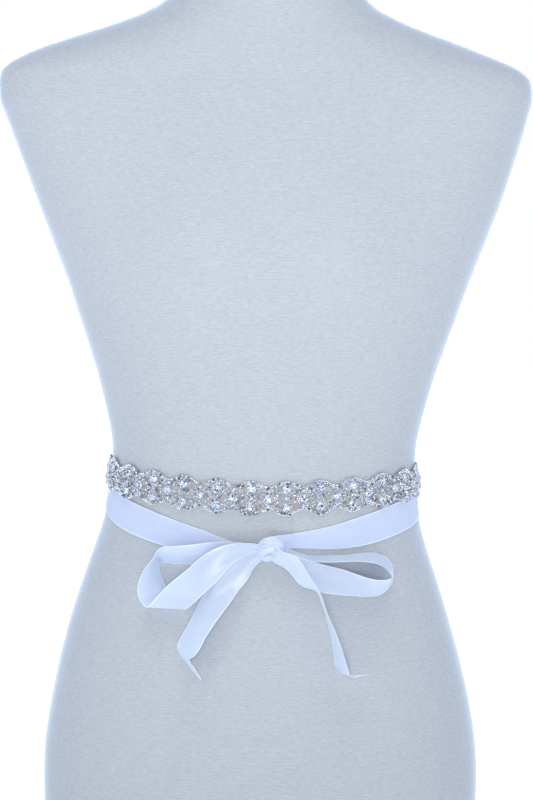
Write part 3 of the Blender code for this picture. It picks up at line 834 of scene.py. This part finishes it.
# Positions across the ribbon from -1 to 1, closest at its woven edges, and its thickness there.
EVEN = np.linspace(-1.0, 1.0, RIBBON_COLUMNS)
ACROSS = np.sin(EVEN * math.pi / 2 * COLUMN_CROWDING) / math.sin(math.pi / 2 * COLUMN_CROWDING)
THICKNESS = SATIN_THICK + EDGE_THICK * np.exp(-(((1 - np.abs(ACROSS)) / 0.07) ** 4))


def creased(name, length, gather, pleats):
    """How far a ribbon stands out of its plain surface, in millimetres, on a grid.

    Pleats grow with how much the ribbon is gathered."""
    lift = np.zeros((len(length), RIBBON_COLUMNS))
    for start, end, place_a, place_b, wide, height in MARKS[name]:
        part = np.clip((length - start) / (end - start), 0, 1)
        place = place_a + (place_b - place_a) * part
        fade = np.sin(np.pi * part) ** 0.7 * ((length > start) & (length < end))
        lift += height * fade[:, None] * np.exp(-(((ACROSS - place[:, None]) / wide) ** 2))
    count, shift = pleats
    wave = np.cos(math.pi * count * ACROSS + shift + 0.012 * length[:, None])
    return lift + PLEAT_HEIGHT * np.clip(1 - gather, 0, 1)[:, None] ** 0.8 * wave


def add_ribbon(name, outside, inside, along, nodes, materials):
    """A stretch of ribbon between two grids of points, with its dull back on the inside."""
    points, faces, inner = shell(outside, inside)
    uv = cloth_places(ACROSS * RIBBON_WIDTH / 2, along[:, None])
    piece = add_piece(name, points, faces, materials, nodes, uv=uv, picks=inner)


def add_wrap(name, table, nodes, materials):
    """A ribbon that lies on the form, from under one end of the band round to the knot."""
    rows = np.array(table)
    leftward = rows[0, 0] > rows[-1, 0]
    if leftward:
        rows = rows[::-1]
    places, tops, bottoms, _ = rows.T
    total = distances(form_point(places, (tops + bottoms) / 2))[-1]
    at = np.linspace(places[0], places[-1], int(total / RIBBON_STEP) + 1)
    top, bottom, gap = (looked_up(rows, k, at) for k in (1, 2, 3))
    along = distances(form_point(at, (top + bottom) / 2))
    if leftward:
        along = along[-1] - along
    height = (top + bottom)[:, None] / 2 + (top - bottom)[:, None] / 2 * ACROSS
    gather = np.clip((top - bottom) / RIBBON_WIDTH, 0, 1)
    lift = np.clip(creased(name, along, gather, WRAP_PLEATS), *WRAP_LIFTS)
    under = gap[:, None] + WRAP_AIR + lift
    inside = on_form(at[:, None], height, under)
    outside = on_form(at[:, None], height, under + THICKNESS)
    add_ribbon(name, outside, inside, along, nodes, materials)


def sourced(station, source, reach):
    """A further station of a strip, on the way to the place in the knot that it comes out of."""
    start = np.array(station[:3])
    way = (np.array(source) - start) * reach
    return (*(start + way), station[3], station[4], station[5] * SOURCE_WIDTH)


def add_strip(node, stations, face, held, sources, materials):
    """A hanging stretch of ribbon: a loop or a tail of the bow, which starts inside the knot."""
    name = "bow_" + node
    stations = [sourced(stations[0], *sources[0]), *stations]
    if held == "folded":
        stations.append(sourced(stations[-1], *sources[1]))
    rows = np.array(stations)
    places = distances(rows[:, :3])
    at = np.linspace(0.0, places[-1], int(places[-1] / RIBBON_STEP) + 2)
    x, y, z, lean, turn, share = (smooth(places, values, at) for values in rows.T)
    middle = np.stack([x, y, z], axis=1)
    along = distances(middle)
    lean, turn = np.radians(lean), np.radians(turn)
    width = np.stack([np.cos(turn) * np.cos(lean), -np.sin(turn), np.cos(turn) * np.sin(lean)], axis=1)
    half = share * RIBBON_WIDTH / 2
    grid = middle[:, None, :] + width[:, None, :] * (half[:, None] * ACROSS)[..., None]
    outward = unit(np.cross(np.gradient(grid, axis=0), width[:, None, :])) * face
    gather = np.clip(half * 2 / RIBBON_WIDTH, 0, 1)
    lift = creased(name, along, gather, STRIP_PLEATS)
    grid = grid + outward * lift[..., None]
    outward = unit(np.cross(np.gradient(grid, axis=0), np.gradient(grid, axis=1))) * face
    shift = outward * (THICKNESS / 2)[:, None]
    add_ribbon(name, grid + shift, grid - shift, along, [node], materials)


# The jewelled band


def band_line():
    """Distances along the band's middle line and the angles there."""
    angles = np.linspace(BAND_LINE[0][0], BAND_LINE[-1][0], BAND_SAMPLES)
    lengths = distances(form_point(angles, looked_up(BAND_LINE, 1, angles)))
    return lengths - np.interp(BAND_MIDDLE, angles, lengths), angles


BAND_PLACES, BAND_ANGLES = band_line()
BAND_HALF = PAIRS_EACH_SIDE * REPEAT + BAND_END


def on_band(along, offset, lift):
    """Points on the band at distances along it, offsets up from its middle line and lifts off the net."""
    angle = np.interp(along, BAND_PLACES, BAND_ANGLES)
    height = looked_up(BAND_LINE, 1, angle)
    gap = looked_up(BAND_LINE, 2, angle)
    pressed = np.clip((offset - PRESS_FROM) / PRESS_REACH, 0, PRESS_SHARE)
    behind = np.clip((np.abs(along) - BEHIND_FROM) / BEHIND_REACH, 0, 1)
    behind = behind * np.clip(offset / BEHIND_RISE, 0, 1)
    height = height + offset * (1 - BEHIND_LOWER * behind)
    return on_form(angle, height, gap + (PRESSED_GAP - gap) * pressed + lift - BEHIND_CLOSER * behind)


def band_axes(along, offset):
    """The directions along the band, up it and out of it."""
    right = unit(on_band(along + 0.5, offset, 0.0) - on_band(along - 0.5, offset, 0.0))
    upward = on_band(along, offset + 0.5, 0.0) - on_band(along, offset - 0.5, 0.0)
    outward = unit(np.cross(right, upward))
    return right, np.cross(outward, right), outward


def band_half_height(along):
    """Half the band's height: a crest at each pair of stones, a valley between, and rounded ends."""
    from_pair = np.abs((along + REPEAT) % REPEAT - REPEAT / 2)
    crest = (np.cos(np.pi * from_pair / (REPEAT / 2)) + 1) / 2
    end = np.clip((BAND_HALF - np.abs(along)) / BAND_END, 0, 1)
    rounding = np.sqrt(np.clip(1 - (1 - end) ** 2, BAND_END_SHARE, 1))
    return (VALLEY_HALF_HEIGHT + (CREST_HALF_HEIGHT - VALLEY_HALF_HEIGHT) * crest**SCALLOP_POWER) * rounding


def stacked_rings(rings, sides):
    """Points of rings of radius, height and shift round the axis."""
    turn = np.arange(sides) * 2 * math.pi / sides
    points = []
    for radius, height, shift in rings:
        ring = [radius * np.cos(turn + shift), radius * np.sin(turn + shift), np.full(sides, height)]
        points.append(np.stack(ring, axis=1))
    return np.concatenate(points)


def gem(sides):
    """A cut stone of radius 1: a table of wedges, a crown of facets, a rim and a foot."""
    rings = ((0.50, 0.95, 0.0), (0.80, 0.62, math.pi / sides), (1.0, 0.2, 0.0), (0.9, -0.1, 0.0))
    points = np.concatenate([[[0.0, 0.0, 0.88]], stacked_rings(rings, sides)])
    table, crown, rim, foot = (1 + k * sides for k in range(4))
    faces = []
    for j in range(sides):
        k = (j + 1) % sides
        faces += [(0, table + j, table + k)]
        faces += [(table + j, crown + j, table + k), (table + k, crown + j, crown + k)]
        faces += [(crown + j, rim + j, rim + k), (crown + j, rim + k, crown + k)]
        faces += [(rim + j, foot + j, foot + k), (rim + j, foot + k, rim + k)]
    return points, np.array(faces)


def ball(fineness=2):
    """A rounded bead of radius 1, or a faceted one."""
    shape = bmesh.new()
    bmesh.ops.create_icosphere(shape, subdivisions=fineness, radius=1.0)
    points = np.array([v.co[:] for v in shape.verts])
    faces = np.array([[v.index for v in f.verts] for f in shape.faces])
    shape.free()
    return points, faces


def cup():
    """A metal cup of radius 1 round a stone, open at the top."""
    profile = ((0.72, -0.42), (1.0, -0.3), (1.13, 0.0), (1.12, 0.2), (1.03, 0.24), (0.98, 0.02))
    points = stacked_rings([(*row, 0.0) for row in profile], CUP_SIDES)
    return points, ring_faces(len(profile), CUP_SIDES)[:, [0, 1, 2, 0, 2, 3]].reshape(-1, 3)


def from_palette(chance, count, palette):
    """Colours for count faces, each drawn from a palette of (share, colour) rows."""
    shares = np.cumsum([row[0] for row in palette])
    colours = np.array([row[1] for row in palette])
    pick = np.searchsorted(shares, chance.random(count) * shares[-1])
    return colours[pick] * chance.uniform(0.9, 1.0, (count, 1))


def set_out(chance, shape, spots, lift, sizes, spins, palette, whole=False):
    """Copies of one small shape set on the band: their points, faces and the faces' colours.

    spots holds distance along the band and offset, sizes the scales along, up and out.
    A copy's colour is drawn for each of its faces, or for the whole of it; its pale and dark colours are
    painted glints and reflections."""
    points, faces = shape
    along, offset = spots.T
    count = len(along)
    centre = on_band(along, offset, lift)
    right, upward, outward = band_axes(along, offset)
    spins = np.broadcast_to(spins, count)[:, None]
    first = right * np.cos(spins) + upward * np.sin(spins)
    second = upward * np.cos(spins) - right * np.sin(spins)
    scaled = points[None, :, :] * np.broadcast_to(sizes, (count, 3))[:, None, :]
    copies = centre[:, None, :] + scaled[..., 0:1] * first[:, None, :]
    copies = copies + scaled[..., 1:2] * second[:, None, :] + scaled[..., 2:3] * outward[:, None, :]
    shift = (np.arange(count) * len(points))[:, None, None]
    share = len(faces) if whole else 1
    tint_and_glint = from_palette(chance, count * len(faces) // share, palette)
    return copies.reshape(-1, 3), (faces[None] + shift).reshape(-1, 3), np.repeat(tint_and_glint, share, axis=0)


def sized(radius, height):
    return np.stack(np.broadcast_arrays(radius, radius, height), axis=-1)


def stone_places():
    """Where the large and small stones stand on the band, and the radii of the small ones."""
    singles = np.arange(-PAIRS_EACH_SIDE, PAIRS_EACH_SIDE + 1) * REPEAT
    pairs = singles[:-1] + REPEAT / 2
    large = [(s, o) for s in pairs for o in (PAIR_OFFSET, -PAIR_OFFSET)] + [(s, 0.0) for s in singles]
    small = [(s, o) for s in singles for o in (SMALL_OFFSET, -SMALL_OFFSET)] + [(s, 0.0) for s in pairs]
    beside = []
    for side in (-SIDE_STONE, SIDE_STONE):
        beside += [(s + side, o) for s in pairs for o in (SIDE_OFFSET, -SIDE_OFFSET)]
    radius = np.repeat([SMALL_RADIUS, SIDE_RADIUS], [len(small), len(beside)])
    return np.array(large), np.array(small + beside), radius


def room(spots, others):
    """The distance from each spot to the nearest of the others."""
    return np.linalg.norm(spots[..., None, :] - others, axis=-1).min(axis=-1)


def bead_places(large, small):
    """Where the seed beads lie: two wavy borders and a ring round each large stone."""
    taken = []
    fine = np.linspace(-BAND_HALF + 0.6, BAND_HALF - 0.6, 6000)
    for side, inset in ((-1, 0.4), (1, 0.4), (-1, 2.2), (1, 2.2)):
        edge = side * (band_half_height(fine) - BEAD_RADIUS * inset)
        run = np.concatenate([[0.0], np.cumsum(np.hypot(np.diff(fine), np.diff(edge)))])
        spots = np.interp(np.arange(inset / 2, run[-1], BEAD_PITCH), run, fine)
        row = np.stack([spots, np.interp(spots, fine, edge)], axis=1)
        taken.append(row[room(row, large) > LARGE_RADIUS + 0.5])
    border = np.concatenate(taken)
    kept = list(border)
    rings = []
    for s, o in large:
        for turn in np.arange(RING_BEADS) * 2 * math.pi / RING_BEADS + 0.2:
            spot = np.array([s + RING_RADIUS * math.cos(turn), o + RING_RADIUS * math.sin(turn)])
            if abs(spot[0]) > BAND_HALF - 0.8:
                continue
            if room(spot, np.array(kept)) < 1.25 or room(spot, small) < SMALL_RADIUS + 0.45:
                continue
            if np.sort(np.linalg.norm(large - spot, axis=1))[1] < LARGE_RADIUS + 0.7:
                continue
            kept.append(spot)
            rings.append((*spot, turn))
    return border, np.array(rings)


def filler_places(chance, large, small, taken):
    """Where loose seed beads fill the net between the stones, the rings and the borders."""
    steps = np.arange(-BAND_HALF + 1.2, BAND_HALF - 1.2, FILL_PITCH)
    rows = np.arange(-CREST_HALF_HEIGHT, CREST_HALF_HEIGHT, FILL_PITCH * 0.87)
    grid = [(s + FILL_PITCH / 2 * (k % 2), o) for k, o in enumerate(rows) for s in steps]
    spots = np.array(grid) + chance.normal(0.0, 0.2, (len(grid), 2))
    keep = np.abs(spots[:, 1]) < band_half_height(spots[:, 0]) - 1.5
    for others, least in ((large, LARGE_RADIUS + 0.8), (small, SMALL_RADIUS + 0.6), (taken, 1.3)):
        keep &= room(spots, others) > least
    keep &= chance.random(len(spots)) < FILL_SHARE
    return spots[keep]


def add_band(net, stone, silver):
    """The jewelled band: net, cut stones in cups, and silver seed beads."""
    along = np.linspace(-BAND_HALF, BAND_HALF, NET_COLUMNS)
    half = band_half_height(along)
    offset = half[:, None] * np.linspace(-1.0, 1.0, NET_ROWS)
    spread = np.broadcast_to(along[:, None], offset.shape)
    wave = 0.1 * np.sin(0.9 * spread) * np.cos(0.7 * offset)
    outside, inside = (on_band(spread, offset, lift + wave) for lift in (BAND_FACE, NET_LIFT))
    points, faces, _ = shell(outside, inside)
    uv = cloth_places(spread, offset)
    backing = add_piece("band_net", points, faces, [net], ["rhinestone_band"], uv=uv)

    chance = np.random.default_rng(41)
    large, small, radius = stone_places()
    lifts = (BAND_FACE + LARGE_LIFT, BAND_FACE + SMALL_LIFT)
    size = sized(LARGE_RADIUS, LARGE_HEIGHT)
    spins = chance.uniform(0, 1.0, len(large))
    gems = set_out(chance, gem(8), large, lifts[0], size, spins, STONE_TINTS_AND_REFLECTIONS)
    spins = chance.uniform(0, 1.0, len(small))
    chips = set_out(chance, gem(6), small, lifts[1], sized(radius, SMALL_HEIGHT), spins, STONE_TINTS_AND_REFLECTIONS)
    stones = np.concatenate([large, small])
    size = sized(np.concatenate([np.full(len(large), LARGE_RADIUS), radius]), CUP_HEIGHT)
    lift = np.repeat(lifts, [len(large), len(small)]) - CUP_DROP
    cups = set_out(chance, cup(), stones, lift, size, 0.0, METAL_TINTS_AND_GLINTS)
    claws = np.array([(*spot, turn) for spot in large for turn in CLAW_TURNS])
    turns = claws[:, 2]
    spots = [(s + CLAW_OUT * math.cos(t), o + CLAW_OUT * math.sin(t)) for s, o, t in claws]
    lift = BAND_FACE + CLAW_LIFT
    claws = set_out(chance, ball(), np.array(spots), lift, CLAW_SIZE, turns, METAL_TINTS_AND_GLINTS, whole=True)

    border, rings = bead_places(large, small)
    spots = border + chance.normal(0.0, 0.1, border.shape)
    lift = BAND_FACE + BEAD_RADIUS * 0.8 + chance.uniform(0, 0.25, len(border))
    size = BEAD_RADIUS * chance.uniform(0.88, 1.06, (len(border), 1)) * (1.0, 1.0, 0.9)
    beads = set_out(chance, ball(), spots, lift, size, 0.0, METAL_TINTS_AND_GLINTS, whole=True)
    spots, turns = rings[:, :2], rings[:, 2]
    lift = BAND_FACE + 0.6 + chance.uniform(0, 0.3, len(rings))
    size = RING_BEAD_SIZE * chance.uniform(0.9, 1.08, (len(rings), 1))
    circles = set_out(chance, ball(), spots, lift, size, turns, METAL_TINTS_AND_GLINTS, whole=True)
    loose = filler_places(chance, large, small, np.concatenate([border, spots]))
    lift = BAND_FACE + 0.4 + chance.uniform(0, 0.4, len(loose))
    size = FILL_RADIUS * chance.uniform(0.8, 1.15, (len(loose), 1))
    spins = chance.uniform(0, 3.0, len(loose))
    fill = set_out(chance, ball(1), loose, lift, size, spins, FILL_TINTS_AND_GLINTS, whole=True)

    circles = (circles[0], circles[1] + len(claws[0]), circles[2])
    circles = [np.concatenate(pair) for pair in zip(claws, circles)]
    sets = {"large_stones": gems, "small_stones": chips, "stone_cups": cups}
    sets.update({"border_beads": beads, "ring_beads": circles, "filler_beads": fill})
    for name, (points, faces, tint_and_glint) in sets.items():
        cut = name.endswith("stones")
        looks = [stone if cut else silver]
        piece = add_piece(name, points, faces, looks, [], not cut, tint_and_glint=tint_and_glint, closed=cut)


# The knot


def angle_between(turn, place):
    """The angle from a place round the knot, from -pi to pi."""
    return (turn - place + math.pi) % (2 * math.pi) - math.pi


def add_knot(satin):
    """The knot: ribbon wound over itself, with soft uneven folds."""
    polar = np.linspace(0, math.pi, KNOT_RINGS + 1)[1:-1]
    turn = np.arange(KNOT_SIDES) * 2 * math.pi / KNOT_SIDES
    polar, turn = np.meshgrid(polar, turn, indexing="ij")
    share = polar / math.pi
    fold = 1 + KNOT_FOLD_DEPTH * np.cos(KNOT_FOLDS * turn + KNOT_SWIRL * polar) * np.sin(polar)
    for place, slant, wide, height in KNOT_CREASES:
        away = angle_between(turn, np.radians(place + slant * (share - 0.5)))
        fold += height * np.exp(-((away / wide) ** 2)) * np.sin(polar) ** 0.6
    for place, at, wide, height in KNOT_DENTS:
        away = angle_between(turn, math.radians(place))
        fold += height * np.exp(-((away / wide) ** 2) - ((share - at) / (wide * 0.3)) ** 2)
    reach = np.sin(polar) ** KNOT_FULLNESS * fold
    body = np.stack([np.cos(polar), -reach * np.cos(turn), reach * np.sin(turn)], axis=-1)
    body = np.concatenate([body.reshape(-1, 3), [[1, 0, 0], [-1, 0, 0]]]) * KNOT_HALF_SIZE
    x, y, z = body.T
    cos, sin = math.cos(math.radians(KNOT_LEAN)), math.sin(math.radians(KNOT_LEAN))
    points = np.stack([x * cos - z * sin, y, x * sin + z * cos], axis=1) + KNOT_CENTRE
    quads = ring_faces(KNOT_RINGS - 1, KNOT_SIDES)
    j = np.arange(KNOT_SIDES)
    k = (j + 1) % KNOT_SIDES
    right = len(points) - 2
    last = right - KNOT_SIDES
    faces = [quads[:, [0, 3, 2]], quads[:, [0, 2, 1]]]
    faces.append(np.stack([np.full(KNOT_SIDES, right), j, k], axis=1))
    faces.append(np.stack([np.full(KNOT_SIDES, right + 1), last + k, last + j], axis=1))
    across = (np.degrees(turn) % 360 / 360 - 0.5) * RIBBON_WIDTH * 0.9
    uv = np.stack([across.ravel() * 0.8, share.ravel() * 30], axis=1)
    uv = np.concatenate([uv, [[0, 0], [0, 30]]])
    add_piece("bow_knot_wound", points, np.concatenate(faces), [satin], ["bow_knot"], uv=uv)


# The studio


def add_light(name, place, target, size, power, colour):
    lamp = bpy.data.lights.new(name, "AREA")
    lamp.shape = "DISK"
    lamp.size = size
    lamp.energy = power
    lamp.color = colour
    thing = add_thing(name, lamp)
    thing.location = place
    thing.rotation_euler = (Vector(target) - thing.location).to_track_quat("-Z", "Y").to_euler()


def add_world():
    """White surroundings: bluish white light, dimmer in front of the form."""
    world = bpy.data.worlds.new("studio")
    bpy.context.scene.world = world
    world.use_nodes = True
    tree = world.node_tree
    place = add_node(tree, "ShaderNodeTexCoord").outputs["Generated"]
    depth = add_node(tree, "ShaderNodeSeparateXYZ", {"Vector": place}).outputs["Y"]
    shift = add_node(tree, "ShaderNodeMapRange", {"Value": depth, "From Min": -1.0, "From Max": 1.0})
    light = tree.nodes["Background"]
    set_inputs(light, {"Color": ramped(tree, shift.outputs["Result"], WORLD_STEPS)})
    white = add_node(tree, "ShaderNodeBackground", {"Color": (*WHITE, 1.0)})
    seen = add_node(tree, "ShaderNodeLightPath").outputs["Is Camera Ray"]
    inputs = {"Fac": seen, 1: light.outputs["Background"], 2: white.outputs["Background"]}
    mix = add_node(tree, "ShaderNodeMixShader", inputs)
    set_inputs(tree.nodes["World Output"], {"Surface": mix.outputs["Shader"]})


def add_floor():
    """A white floor with painted light: it glows, dimly near the form as painted shade and more brightly
    away from it.
    """
    material, tree, place = new_material("white_floor_painted_glow", "Object")
    cloud = streaks(tree, place, PLAIN, 3.0)
    away = add_node(tree, "ShaderNodeVectorMath", {0: place, 1: FLOOR_CENTRE}, operation="DISTANCE")
    names = ("From Min", "From Max", "To Min", "To Max")
    reach = {"Value": away.outputs["Value"], **dict(zip(names, FLOOR_STEPS + FLOOR_PAINTED_GLOW))}
    # Painted light: the floor's emitted glow, with painted shade near the form.
    painted_glow = add_node(tree, "ShaderNodeMapRange", reach, interpolation_type="SMOOTHSTEP")
    look = {
        "Base Color": blended(tree, cloud, (0.93, 0.93, 0.93), (0.96, 0.96, 0.96)),
        "Roughness": 0.9,
        "Emission Strength": painted_glow.outputs["Result"],
        "Emission Color": (*WHITE, 1.0),
    }
    bpy.ops.mesh.primitive_circle_add(vertices=96, radius=6.0, fill_type="NGON", location=(0, 0, -0.0005))
    floor = bpy.context.object
    floor.name = "studio_floor"
    floor.data.materials.append(finished(material, look))


def add_camera():
    tilt = math.radians(CAMERA_TILT)
    lens = bpy.data.cameras.new("camera")
    lens.lens = CAMERA_LENS
    lens.clip_end = 50.0
    camera = add_thing("camera", lens)
    camera.location = (0.0, -CAMERA_AWAY * math.cos(tilt), CAMERA_AIM + CAMERA_AWAY * math.sin(tilt))
    camera.rotation_euler = (math.pi / 2 - tilt, 0.0, 0.0)
    bpy.context.scene.camera = camera


def dress():
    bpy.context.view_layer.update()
    bpy.context.scene.view_settings.view_transform = "Standard"
    satin = satin_material("satin_face", SATIN_LOW, SATIN_HIGH, 0.38, 0.2, 1.0)
    dull = satin_material("satin_back", DULL_LOW, DULL_HIGH, 0.6, 0.1, 1.0)
    flat_satin = satin_material("satin_on_form", FLAT_LOW, FLAT_HIGH, 0.38, 0.2, 0.2)
    add_form(jersey_material())
    silver = glint_tinted_material("silver_beads", 0.22, 0.45, 1.7, 0.3)
    stone = glint_tinted_material("cut_stones", 0.04, 0.0, 1.75, 0.6)
    add_band(net_material(), stone, silver)
    add_knot(flat_satin)
    left = BACK_LEFT + tuple((row[0] - 360.0, *row[1:]) for row in WRAP_RIGHT)
    add_wrap("ribbon_from_left_end", left, ["ribbon_back_left", "ribbon_wrap_right"], [flat_satin, dull])
    right = BACK_RIGHT + tuple((row[0] + 360.0, *row[1:]) for row in WRAP_LEFT)
    add_wrap("ribbon_from_right_end", right, ["ribbon_back_right", "ribbon_wrap_left"], [flat_satin, dull])
    for strip in STRIPS:
        add_strip(*strip, [satin, dull])
    add_floor()
    add_world()
    for light in LIGHTS:
        add_light(*light)
    add_camera()


dress()
